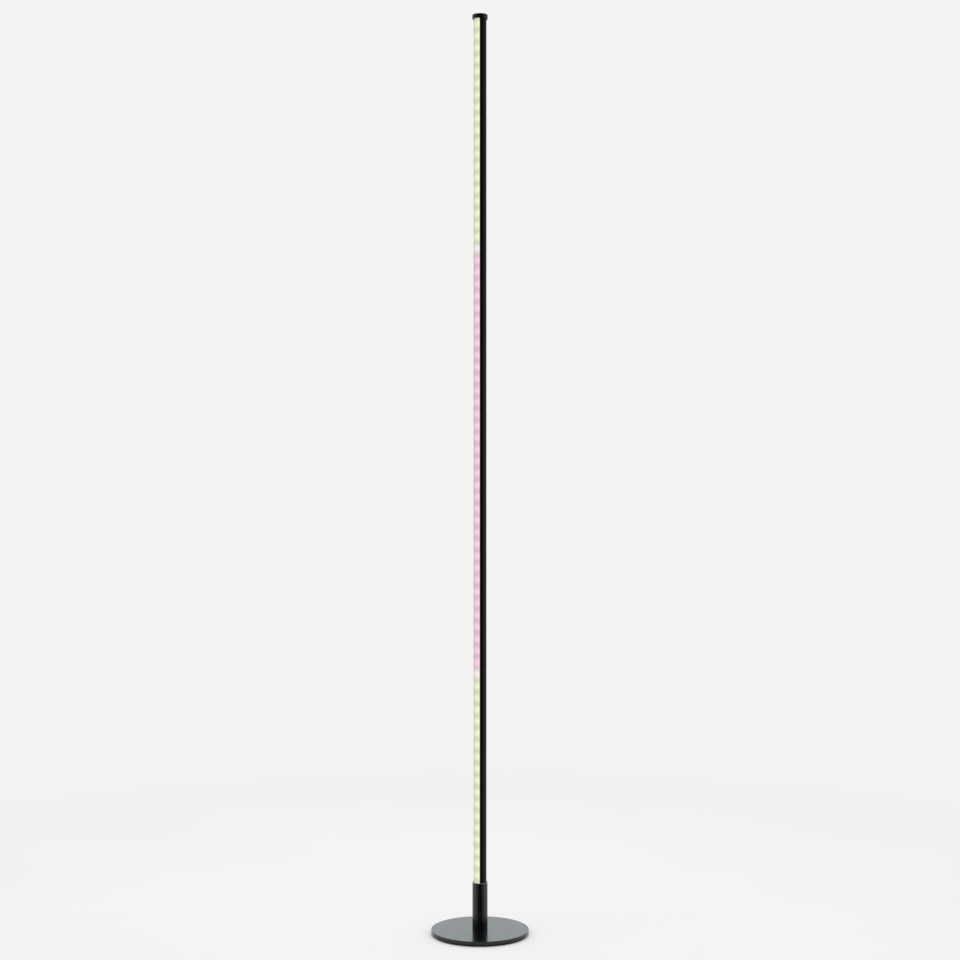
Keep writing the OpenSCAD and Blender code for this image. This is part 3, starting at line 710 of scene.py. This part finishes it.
screw_hole = turned([(0, CAP_TOP + 1), (HOLE_SINK_R, CAP_TOP + 1), (HOLE_SINK_R, CAP_TOP - HOLE_RIM),
                     (HOLE_R, CAP_TOP - HOLE_RIM - HOLE_SINK_R + HOLE_R), (HOLE_R, CAP_TOP - 3),
                     (0, CAP_TOP - 3)], at=(*PORT, 0), steps=48)
cap = turned([(0, CAP_TOP), (CAP_R, CAP_TOP), (CAP_R, CAP_LOW), (CAP_BORE, CAP_LOW), (CAP_BORE, POLE_HIGH),
              (0, POLE_HIGH)])
ease(cap, [(CAP_R, CAP_TOP)], 0.6, segments=5)
ease(cap, [(CAP_R, CAP_LOW), (CAP_BORE, CAP_LOW)], 0.2, segments=2)
cap = cut_away(cap, screw_hole)
spigot_side = -beside(SPIGOT_R, SPIGOT_HALF)
spigot_corner = beside(SPIGOT_R, SPIGOT_FRONT)
block = bmesh.new()
drawn_loop(block, (SPIGOT_BACK, -SPIGOT_HALF), (SPIGOT_BACK, SPIGOT_HALF), (spigot_side, SPIGOT_HALF),
           (AXIS, (SPIGOT_FRONT, spigot_corner), 1), (SPIGOT_FRONT, -spigot_corner),
           (AXIS, (spigot_side, -SPIGOT_HALF), 1))
block = extruded(block, POLE_HIGH - SPIGOT_DEEP, POLE_HIGH + SPIGOT_INTO_CAP)
spigot = bpy.data.meshes.new("spigot")
block.to_mesh(spigot)
block.free()
cap.from_mesh(spigot)
made("pole_cap", cap, "pole", "top_cap", black_abs)


def end_screw(name, node, finish, head, tip, thread_from):
    """A small countersunk screw at the profile's port, with a cross in its head."""
    way = math.copysign(1, tip - head)
    screw = turned([(0, head), (END_RIM_R, head), (END_HEAD_R, head + 0.1 * way),
                    (END_SHANK_R, head + (END_HEAD_R - END_SHANK_R) * way),
                    *shank(END_SHANK_R, thread_from, tip - 0.6 * way, END_PITCH), (0.2, tip), (0, tip)],
                   at=(*PORT, 0), steps=48)
    threaded(screw, *sorted((thread_from, tip)), END_ROOT, END_PITCH, x=PORT[0])
    for turn in (0, math.pi / 2):
        arm = bmesh.new()
        size = Matrix.Diagonal((CROSS_LONG, CROSS_WIDE, CROSS_DEEP, 1))
        place = Matrix.Translation((*PORT, head)) @ Matrix.Rotation(turn, 4, "Z")
        bmesh.ops.create_cube(arm, size=1.0, matrix=place @ size)
        screw = cut_away(screw, arm)
    made(name, screw, "pole", node, finish)


(_, _, CAP_SCREW_TIP), (_, _, CAP_SCREW_HEAD) = reach("cap_screw")
(_, _, FOOT_SCREW_HEAD), (_, _, FOOT_SCREW_TIP) = reach("foot_screw")
end_screw("cap_screw_head", "cap_screw", oxide, CAP_SCREW_HEAD, CAP_SCREW_TIP, POLE_HIGH - 0.2)
end_screw("foot_screw_head", "foot_screw", zinc, FOOT_SCREW_HEAD, FOOT_SCREW_TIP, POLE_LOW)
